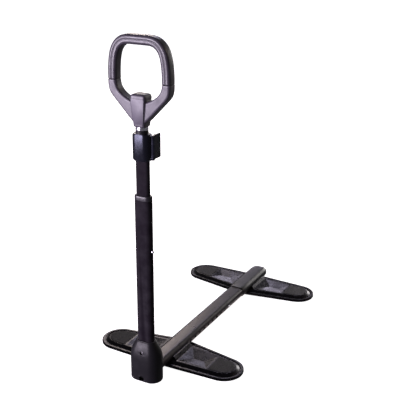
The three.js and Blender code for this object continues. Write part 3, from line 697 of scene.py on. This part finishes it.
INNER_SIDE, OUTER_SIDE = foot_side(INNER_BULGE), foot_side(OUTER_BULGE)


def side_at(side, x, inset):
    """How far out a side is at x, drawn in by an inset."""
    angle, distance = side
    return (distance - inset - abs(x) * math.cos(angle)) / math.sin(angle)


def foot_outline(inset, facing, arc=26):
    """A foot's outline; facing is 1 where the inner side is towards +Y, or else -1."""
    radius = END_RADIUS - inset
    up, down = (INNER_SIDE, OUTER_SIDE) if facing > 0 else (OUTER_SIDE, INNER_SIDE)
    right, left = [], []
    for i in range(arc + 1):
        a = -down[0] + (down[0] + up[0]) * i / arc
        right.append((FOOT_REACH + radius * math.cos(a), radius * math.sin(a)))
        b = math.pi - up[0] + (down[0] + up[0]) * i / arc
        left.append((-FOOT_REACH + radius * math.cos(b), radius * math.sin(b)))
    return right + [(0, side_at(up, 0, inset))] + left + [(0, -side_at(down, 0, inset))]


def foot_loft(name, layers, foot_y, facing):
    return loft(name, [level(foot_outline(inset, facing), z, 0, foot_y) for inset, z in layers])


def slab(low_x, high_x, foot_y, low_z=-6, high_z=45):
    corners = [(low_x, foot_y - 150), (high_x, foot_y - 150), (high_x, foot_y + 150), (low_x, foot_y + 150)]
    return prism("slab", corners, "z", low_z, high_z)


def beyond(side, x, foot_y):
    """All of a foot further out than x, on one side."""
    return slab(x, 300, foot_y) if side > 0 else slab(-300, -x, foot_y)


def hip(side, foot_y, facing):
    """The hipped hollow between the pad and the bar's saddle."""
    near, far = 35, 117
    valley = [(x, facing * 2, DECK - 5) for x in (64, 94)]

    def rim(edge, way, x):
        return (x, way * facing * side_at(edge, x, PAD_INSET), DECK + 0.5)

    rows = [rim(INNER_SIDE, 1, x) for x in (near, far)] + [rim(OUTER_SIDE, -1, x) for x in (far, near)]
    rows += valley
    bm = bmesh.new()
    verts = [bm.verts.new(point(side * x, foot_y + y, z)) for x, y, z in rows]
    for face in ((0, 3, 2, 1), (0, 4, 3), (1, 2, 5), (0, 1, 5, 4), (3, 4, 5, 2)):
        bm.faces.new([verts[i] for i in face])
    return new_object("hip", bm)


def trough(channel, foot_y):
    """The room for the bar or sleeve across a foot."""
    outline = obround(channel[0] + 0.6, channel[1] + 0.6)
    return loft("trough", [lying(outline, foot_y + d) for d in (-120, 120)])


def foot(prefix, foot_y, facing, body, channel):
    """A foot plate on a body, with its pads and cheeks; the channel is what lies across it."""
    plate = foot_loft(f"{prefix}_foot", FOOT_LAYERS, foot_y, facing)
    for side in (1, -1):
        seat = foot_loft("seat", [(20.7, 12), (20.7, 20)], foot_y, facing)
        boolean(seat, [beyond(side, 119.7, foot_y)], "INTERSECT")
        sole_seat = foot_loft("sole_seat", [(8.1, -1), (8.1, 3.2)], foot_y, facing)
        boolean(sole_seat, [beyond(side, 65.7, foot_y)], "INTERSECT")
        screw_x, screw_y = side * 30, foot_y + facing * 4
        tools = [hip(side, foot_y, facing), seat, sole_seat]
        tools += [rod("well", (screw_x, screw_y, -1), (screw_x, screw_y, 5), 4.2)]
        boolean(plate, tools)
    if channel == OUTER_BAR:  # the bolt's head, below the bar that is bolted to its foot
        boolean(plate, [rod("well", (0, foot_y, -1), (0, foot_y, 4), 5.3)])
    boolean(plate, [trough(channel, foot_y)])

    def on_hips(x, y, z):
        across = y - foot_y
        near = 33 < abs(x) < 119 and abs(across) < 60 and 7.5 < z < 13.02
        return near and inset_of(x, across, facing) > 20.6

    bevel_sharp(plate, 0.9, 9, 3, on_hips)
    finish_piece(plate, body, [f"{prefix}_foot_plate"], "base", 40, 90)
    for word, side in (("right", 1), ("left", -1)):
        layers = [(PAD_INSET, 12.3), (PAD_INSET, 13.5), (21.25, 13.85), (21.8, 14.1)]
        pad = foot_loft(f"{prefix}_pad_{word}", layers, foot_y, facing)
        boolean(pad, [beyond(side, PAD_FROM, foot_y)], "INTERSECT")
        bevel_sharp(pad, 0.5, 60, 3, lambda x, y, z: z > 13)
        finish_piece(pad, body, [f"{prefix}_grip_pad_{word}"], "pad", 40, 90)
        cheek = saddle_cheek(f"{prefix}_cheek_{word}", side, foot_y, facing, channel)
        finish_piece(cheek, body, [f"{prefix}_bar_cheek_{word}"], "base", 40, 60)


def inset_of(x, y, facing):
    """How far inside the foot's edge a point is."""
    y *= facing
    side = INNER_SIDE if y > 0 else OUTER_SIDE
    return side[1] - (abs(x) * math.cos(side[0]) + abs(y) * math.sin(side[0]))


def saddle_cheek(name, side, foot_y, facing, channel):
    """A wedge on the deck that holds one side of the bar."""

    def ring(outer, z, trim):
        y0 = foot_y - facing * (side_at(OUTER_SIDE, 30, DECK_INSET) - trim)
        y1 = foot_y + facing * (side_at(INNER_SIDE, 30, DECK_INSET) - trim)
        low, high = min(y0, y1), max(y0, y1)
        left, right = (10, outer) if side > 0 else (-outer, -10)
        return [(left, low, z), (right, low, z), (right, high, z), (left, high, z)]

    wedge = loft(name, [ring(35, 13.3, 1), ring(34.4, 14.4, 1.4), ring(28, 20.5, 4)])
    boolean(wedge, [trough(channel, foot_y)])
    return bevel_sharp(wedge, 0.7, 25, 3)


foot("front", 111.4, 1, "base", OUTER_BAR)
foot("rear", 578.9, -1, "rear_base", SLEEVE)

# ---------------------------------------------------------------- collar and lever
LEVER_X, LEVER_Y, KNUCKLE = 24.6, 3, 4.4  # the lever's pin, and the radius round it
PIN_WAY = 2.3


def collar():
    """A clamp block, split at its right side, with two lugs for the lever's pin."""

    def ring(shrink, z):
        return level(obround(44.8 - 2 * shrink, 29.5 - 2 * min(shrink, 0.3), 28), z)

    profile = [(2.6, 544), (1.7, 544.4), (0.8, 545.2), (0.2, 546.4), (0, 547.8)]
    profile += [(0, 598.6), (0.25, 600.2), (0.9, 601.6), (1.9, 602.6), (3, 603)]
    block = loft("collar_block", [ring(*row) for row in profile])
    front, back = LEVER_Y - KNUCKLE, LEVER_Y + KNUCKLE
    bridge = [(14.4, front), (LEVER_X, front), (LEVER_X, back), (14.4, back)]
    for low, high in ((546, 552), (598, 601)):
        lug = rod("lug", (LEVER_X, LEVER_Y, low), (LEVER_X, LEVER_Y, high), KNUCKLE)
        boolean(block, [lug, prism("bridge", bridge, "z", low + 0.03, high - 0.03)], "UNION")
    split = [(0, 9.4), (40, 9.4), (40, 10.9), (0, 10.9)]
    tools = [
        loft("seat", [level(obround(*INNER_POST_WAY), z) for z in (540, 588.4)]),
        rod("socket", (0, 0, 587), (0, 0, 606), 14.3, 96),
        prism("split", split, "z", 540, 606),
        rod("window", (LEVER_X, LEVER_Y, 552), (LEVER_X, LEVER_Y, 598), KNUCKLE + 1.1),
        rod("pin_way", (LEVER_X, LEVER_Y, 540), (LEVER_X, LEVER_Y, 606), PIN_WAY),
    ]
    boolean(block, tools)
    return bevel_sharp(block, 0.5, 50, 3)


finish_piece(collar(), "stem", ["collar"], "clamp")


def clamp_lever():
    """A blade, curved when seen from above, on a knuckle between the collar's lugs."""
    x, y, k, tip = LEVER_X, LEVER_Y, KNUCKLE, 27.5
    knuckle_low, knuckle_high = 552.6, 597.4
    start = (x + k, y)
    plan = [(x - 1.2, y), start]
    plan += bezier(start, (x + k, y + 9), (x + k - 0.6, y + 16), (x + k + 0.6, tip))
    back = (x + k - 2.8, tip)
    plan += [back] + bezier(back, (x + 1, y + 18), (x + 0.4, y + 13), (x - 1.2, y + 8))
    blade = prism("lever", plan, "z", 548, 602)
    bevel_sharp(blade, 1.2, 50, 4)
    for low, high in ((540, knuckle_low), (knuckle_high, 610)):
        boolean(blade, [rod("lug_room", (x, y, low), (x, y, high), k + 1.2)])
    boolean(blade, [rod("knuckle", (x, y, knuckle_low), (x, y, knuckle_high), k)], "UNION")
    boolean(blade, [rod("pin_way", (x, y, 540), (x, y, 610), PIN_WAY)])
    return blade


finish_piece(clamp_lever(), "clamp_lever", ["clamp_lever"], "clamp")


def turned(name, profile, sides=96):
    """A closed profile of (radius, height) turned round the post's axis."""
    turns = [TAU * i / sides for i in range(sides)]
    rings = [level([(r * math.cos(a), r * math.sin(a)) for a in turns], z) for r, z in profile]
    return loft(name, rings, closed=True)


def neck():
    """Out and up from the foot to the hub's spigot, then down the bore and the bolt's way."""
    profile = [(13.2, 589.2), (13.2, 611.4), (13.7, 611.4), (14, 611.7), (14, 617.6)]
    profile += [(13.7, 617.9), (11, 617.9), (11, 639.6), (10.6, 640), (7.4, 640), (7.4, 597)]
    profile += [(3.4, 597), (3.4, 589.2)]
    return turned("neck", profile)


def neck_ring():
    """The dark ring round the lower part of the neck, which the CAD has no piece for."""
    profile = [(13.25, 589), (14.2, 589), (14.2, 608.6), (14.05, 609.8), (13.7, 610.8)]
    return turned("neck_ring", profile + [(13.25, 611.3)])


finish_piece(neck(), "handle", ["neck_spigot"], "neck")
finish_piece(neck_ring(), "handle", [], "boot")

# ---------------------------------------------------------------- handle
SEAM = 714  # where the grip meets the handle's body
HALF, TOP = 66.2, 801.2  # the grip's middle line at its sides and at its top
GRIP_WIDTH, GRIP_DEPTH = 21, 26
ARM_ROUND = 4.4  # radius of the arms' edges, which grows to the grip's own at the seam
QUARTER = 8  # steps in a rounded corner


def grip_line():
    """The grip's middle line, as (x, z), from one seam over the top to the other."""
    table = [
        (HALF, SEAM + 0.8),
        (HALF, SEAM + 14),
        (HALF - 0.7, SEAM + 28),
        (HALF - 2.4, SEAM + 44),
        (HALF - 5.4, TOP - 29.5),
        (HALF - 10.4, TOP - 18),
        (HALF - 18.2, TOP - 8.7),
        (HALF - 28, TOP - 2.7),
        (HALF - 40, TOP - 0.2),
        (HALF - 56, TOP),
    ]
    return spline(table + [(-x, z) for x, z in reversed(table)], 8)


def corners_round(centres, radius):
    """An outline through four rounded corners, anticlockwise from the first quarter."""
    points = []
    for quarter, (x, y) in enumerate(centres):
        for i in range(QUARTER + 1):
            a = math.pi / 2 * (quarter + i / QUARTER)
            points.append((x + radius * math.cos(a), y + radius * math.sin(a)))
    return points


def rounded(width, depth, radius):
    quarters = ((1, 1), (-1, 1), (-1, -1), (1, -1))
    x, y = width / 2 - radius, depth / 2 - radius
    return corners_round([(sx * x, sy * y) for sx, sy in quarters], radius)


def sweep(name, line, section_at):
    """Carries a section along a line in the plane of x and z."""
    rings = []
    for i, (x, z) in enumerate(line):
        before, after = line[max(i - 1, 0)], line[min(i + 1, len(line) - 1)]
        tangent = Vector((after[0] - before[0], after[1] - before[1])).normalized()
        normal = Vector((tangent.y, -tangent.x))
        rings.append([(x + u * normal.x, v, z + u * normal.y) for u, v in section_at(i, len(line))])
    return loft(name, rings)


def grip():
    """The loop, with pinched ends and a fine groove along its front."""
    before_groove = 3 * (QUARTER + 1)

    def section(i, count):
        end = min(i, count - 1 - i)
        pinch = (0.9, 0.3, 0.05)[end] if end < 3 else 0
        around = rounded(GRIP_WIDTH - 2 * pinch, GRIP_DEPTH - 2 * pinch, 6.4)
        front = pinch - GRIP_DEPTH / 2
        groove = [(-0.9, front), (0, front + 0.5), (0.8, front + 0.5), (1.7, front)]
        return around[:before_groove] + groove + around[before_groove:]

    line = grip_line()
    tips = [(HALF, SEAM + 0.8 + d) for d in (0, 0.35, 0.9)]
    line = tips + line[1:-1] + [(-x, z) for x, z in reversed(tips)]
    return sweep("loop_grip", line, section)


finish_piece(grip(), "handle", ["grip_sleeve"], "grip", 50)


def round_arm(x, y, z, edge_x):
    """Rounds an arm of the handle's body more and more, up to the grip's section at the seam."""
    bend_z, hub_side = 686, 44
    share = min(max((z - bend_z) / (SEAM - bend_z - 2), 0), 1)
    if share == 0 or abs(x) < hub_side:
        return point(x, y, z)
    share = share * share * (3 - 2 * share)
    inner, outer = edge_x(z)
    centre, half, deep = (inner + outer) / 2, (outer - inner) / 2, GRIP_DEPTH / 2
    radius = min(ARM_ROUND + 2 * share, half)
    u, v = abs(x) - centre, abs(y)
    du, dv = abs(u) - (half - radius), v - (deep - radius)
    if du > 0 and dv > 0 and math.hypot(du, dv) > radius:
        scale = radius / math.hypot(du, dv)
        u = math.copysign(half - radius + du * scale, u)
        v = deep - radius + dv * scale
    return point(math.copysign(centre + u, x), math.copysign(v, y), z)


def yoke():
    """The hub and its two arms, melted into one moulding."""
    outer_x, inner_x = HALF + GRIP_WIDTH / 2 + 0.2, HALF - GRIP_WIDTH / 2 - 0.2
    elbow, crotch = (65, 679), (41, 685.5)
    outer_edge = [elbow] + bezier(elbow, (73.5, 688), (outer_x, 697), (outer_x, SEAM), 14)
    inner_edge = [(inner_x, SEAM)]
    inner_edge += bezier((inner_x, SEAM), (inner_x, 700), (50, 692), crotch, 14)
    right = [(10, 623), (24, 636.5)] + outer_edge + inner_edge
    right += bezier(crotch, (34, 680.6), (27, 676.6), (16, 673), 10)
    outline = right + [(-x, z) for x, z in reversed(right)]

    def edge_x(z):
        """The inner and outer edge of an arm at a height."""
        ends = []
        for curve in (inner_edge, outer_edge):
            for (x0, z0), (x1, z1) in zip(curve, curve[1:]):
                if min(z0, z1) <= z <= max(z0, z1) and z0 != z1:
                    ends.append(x0 + (x1 - x0) * (z - z0) / (z1 - z0))
                    break
            else:
                first, last = curve[0], curve[-1]
                ends.append(first[0] if abs(z - first[1]) < abs(z - last[1]) else last[0])
        return ends

    arms = prism("handle_body", outline, "y", -GRIP_DEPTH / 2, GRIP_DEPTH / 2)
    bevel_sharp(arms, ARM_ROUND, 60, 6, lambda x, y, z: z < SEAM - 0.4)

    def hub_ring(z, half, front, back, radius):
        x, rear, fore = half - radius, back - radius, radius - front
        return level(corners_round([(x, rear), (-x, rear), (-x, fore), (x, fore)], radius), z)

    table = [  # (height, half width, front, back, corner radius)
        (618.5, 13.0, 13.0, 13.0, 6),
        (619.1, 13.9, 13.9, 13.9, 6),
        (620.5, 14.6, 14.6, 14.6, 6),
        (681, 18.6, 17.4, 15, 5),
        (685, 18.3, 17.2, 14.6, 5),
        (687.6, 17.0, 16.0, 13.4, 5),
        (689.2, 14.4, 13.4, 11.2, 5),
        (689.9, 11, 10, 8.6, 5),
        (690, 7.6, 7, 5.4, 4),
    ]
    hub = loft("hub", [hub_ring(*row) for row in table])
    boolean(arms, [hub], "UNION")
    remesh = arms.modifiers.new("remesh", "REMESH")
    remesh.mode = "VOXEL"
    remesh.voxel_size = 0.9 * MM
    soften = arms.modifiers.new("soften", "SMOOTH")
    soften.factor = 0.5
    soften.iterations = 3
    freeze(arms)
    for vertex in arms.data.vertices:
        vertex.co = round_arm(vertex.co.x / MM, (vertex.co.y - POST_Y) / MM, vertex.co.z / MM, edge_x)
    tools = [
        rod("spigot_way", (0, 0, 610), (0, 0, 640.3), 11.3, 64),
        rod("screw_well", (0, 20, 668), (0, 10, 668), SCREW_WELL),
    ]
    for x in (HALF, -HALF):
        tools.append(rod("core_way", (x, 0, SEAM + 3), (x, 0, SEAM - 15), 6.3))
    return boolean(arms, tools)


finish_piece(yoke(), "handle", ["handle_yoke"], "handle", 50)

HUB_FRONT_LOW, HUB_FRONT_HIGH = 14.6, 17.4
LEAN = math.atan2(HUB_FRONT_HIGH - HUB_FRONT_LOW, 62)  # of the hub's front face


def cover():
    """A thin plate, wider at its top, tipped to lie on the hub's front face."""
    low, high, bottom, top = 12, 16, 625, 679.5
    corner = 3.0
    upper, lower = top - corner, bottom + corner
    centres = [(high - corner, upper), (corner - high, upper)]
    centres += [(corner - low, lower), (low - corner, lower)]
    plate = prism("hub_front", corners_round(centres, corner), "y", -0.16, 1.25)
    bevel_sharp(plate, 0.12, 50, 2, lambda x, y, z: y < 0)
    face_y = -HUB_FRONT_LOW - 5 * math.tan(LEAN)
    cos, sin = math.cos(LEAN), math.sin(LEAN)
    for vertex in plate.data.vertices:
        y = (vertex.co.y - POST_Y) / MM
        z = vertex.co.z / MM - bottom
        tipped_y, tipped_z = face_y + y * cos - z * sin, bottom + z * cos + y * sin
        vertex.co = point(vertex.co.x / MM, tipped_y, tipped_z)
    return plate


finish_piece(cover(), "handle", ["hub_cover"], "cover")

# ---------------------------------------------------------------- CAD pieces that stay, with their finishes
CORNERS = [(end, word) for end in ("front", "rear") for word in ("right", "left")]
KEPT = {
    "steel": [
        "post_socket",
        "lever_pin",
        "post_spring",
        "swivel_bolt",
        "hub_screw",
        "grip_core",
        "bar_spring",
        "front_bar_bolt",
        *(f"{end}_cheek_screw_{word}" for end, word in CORNERS),
    ],
    "sole": [f"{end}_sole_{word}" for end, word in CORNERS],
    "bushing": ["post_glide", "post_top_plug", "inner_bar_plug", "outer_bar_plug"],
}
for key, names in KEPT.items():
    for name in names:
        for slot in NODES[name].material_slots:
            slot.material = MATERIAL[key]


# ---------------------------------------------------------------- floor, light and camera, in metres
def stage_floor():
    """A pale floor that rises into a dome far away.

    It glows evenly, so that it stays white all round, and only the camera sees it.
    """
    floor_radius, dome_radius, wall_height, roof_rise = 40, 60, 30, 20
    hole, sides, wall_steps, roof_steps = 0.01, 64, 24, 16
    profile = [(hole, 0), (floor_radius, 0)]
    for i in range(1, wall_steps + 1):
        a = math.pi / 2 * i / wall_steps
        radius = floor_radius + (dome_radius - floor_radius) * math.sin(a)
        profile.append((radius, wall_height * (1 - math.cos(a))))
    for i in range(1, roof_steps + 1):
        a = math.pi / 2 * i / roof_steps
        radius = dome_radius * math.cos(a) if i < roof_steps else hole
        profile.append((radius, wall_height + roof_rise * math.sin(a)))
    bm = bmesh.new()
    turns = [TAU * k / sides for k in range(sides)]
    rows = []
    for r, z in profile:
        rows.append([bm.verts.new((r * math.cos(a), r * math.sin(a), z)) for a in turns])
    for lower, upper in zip(rows, rows[1:]):
        for k in range(sides):
            after = (k + 1) % sides
            bm.faces.new((lower[k], lower[after], upper[after], upper[k]))
    for row in (rows[0], rows[-1]):
        bm.faces.new(row)
    floor = new_object("studio_floor", bm)
    floor.location.z = -0.0004  # just under the soles
    material, tree, shader = principled("floor_paper")
    tone = remap(tree, noise(tree, coords(tree), 3, 2), 0, 1)
    tree.links.new(mix_colour(tree, tone, (0.9, 0.9, 0.9), (0.94, 0.94, 0.94)), shader.inputs["Base Color"])
    shader.inputs["Roughness"].default_value = 0.9
    shader.inputs["Specular IOR Level"].default_value = 0.1
    shader.inputs["Emission Color"].default_value = (1, 1, 1, 1)
    shader.inputs["Emission Strength"].default_value = 1.0
    floor.data.materials.append(material)
    for seen in ("visible_glossy", "visible_diffuse", "visible_shadow"):
        setattr(floor, seen, False)


def bounce_card():
    """A small glowing card on the floor beside the bar, which only its reflections show."""
    left, right, front, back, height = 0.004, 0.1, -0.15, 0.2, 0.0002
    corners = ((left, front), (right, front), (right, back), (left, back))
    bm = bmesh.new()
    bm.faces.new([bm.verts.new((x, y, height)) for x, y in corners])
    card = new_object("bounce_card", bm)
    material, tree, shader = principled("card_paper")
    tree.links.new(remap(tree, noise(tree, coords(tree), 30, 2), 0.45, 0.55), shader.inputs["Roughness"])
    shader.inputs["Emission Color"].default_value = (1, 0.86, 0.84, 1)
    shader.inputs["Emission Strength"].default_value = 0.4
    card.data.materials.append(material)
    card.visible_camera = False
    card.visible_diffuse = False
    card.visible_shadow = False


def area_light(name, place, aim, size, power, colour):
    data = bpy.data.lights.new(name, "AREA")
    data.shape = "RECTANGLE"
    data.size, data.size_y = size
    data.energy = power
    data.color = colour
    light = bpy.data.objects.new(name, data)
    light.location = place
    light.rotation_euler = (Vector(aim) - Vector(place)).to_track_quat("-Z", "Y").to_euler()
    bpy.context.scene.collection.objects.link(light)
    return light


def flag_off(light, prefixes):
    """Keeps a light off the pieces whose names start in one of these ways."""
    shaded = bpy.data.collections.new(f"{light.name}_flag")
    for obj in bpy.context.scene.objects:
        if obj.type == "MESH" and obj.name.startswith(prefixes):
            shaded.objects.link(obj)
    for item in shaded.collection_objects:
        item.light_linking.link_state = "EXCLUDE"
    light.light_linking.receiver_collection = shaded


def studio():
    world = bpy.data.worlds.new("studio")
    bpy.context.scene.world = world
    world.use_nodes = True
    background = world.node_tree.nodes["Background"]
    background.inputs["Color"].default_value = (0.95, 0.95, 1, 1)
    background.inputs["Strength"].default_value = 0.13
    lights = (  # name, place, aim, size, watts, colour
        ("key", (-1.75, -3.0, 0.72), (0, -0.3, 0.66), (1.7, 1.35), 225, (0.93, 0.83, 1.0)),
        ("high_back", (-1.1, 2.6, 2.5), (0, 0.1, 0), (0.9, 0.4), 11, (0.86, 0.82, 1.0)),
        ("bar_back", (-1.85, 2.2, 1.75), (0, -0.1, 0.03), (0.9, 0.5), 14, (1.0, 0.88, 0.82)),
        ("low_back", (-2.6, 6.0, 1.15), (0, 0.1, 0), (2.2, 0.7), 26, (0.86, 0.8, 1.0)),
        ("rear_fill", (0.5, 3.6, 0.95), (0, 0, 0.4), (1.8, 1.2), 60, (1.0, 0.97, 0.95)),
        ("warm_right", (2.2, 1.2, 2.0), (0, 0, 0.5), (0.4, 0.7), 9, (1.0, 0.75, 0.58)),
    )
    placed = {row[0]: area_light(*row) for row in lights}
    # The key light would leave white glare on the feet and bar in low rear views.
    flag_off(placed["key"], ("front_", "rear_", "outer_bar", "inner_bar"))
    bpy.context.scene.view_settings.view_transform = "Standard"


def camera():
    """The camera that was fitted to the photograph's outlines."""
    yaw, pitch, roll = (math.radians(a) for a in (27.952, 20.488, 0.552))
    right = Vector((math.cos(yaw), math.sin(yaw), 0))
    back = Vector((math.sin(yaw) * math.cos(pitch), -math.cos(yaw) * math.cos(pitch), math.sin(pitch)))
    up = back.cross(right)
    x_axis = math.cos(roll) * right + math.sin(roll) * up
    y_axis = -math.sin(roll) * right + math.cos(roll) * up
    data = bpy.data.cameras.new("camera")
    data.sensor_width = 36
    data.lens = 68.24
    obj = bpy.data.objects.new("camera", data)
    matrix = Matrix((x_axis, y_axis, back)).transposed().to_4x4()
    matrix.translation = point(890.4, -1374.8, 1043.8)
    obj.matrix_world = matrix
    bpy.context.scene.collection.objects.link(obj)
    bpy.context.scene.camera = obj


stage_floor()
bounce_card()
studio()
camera()
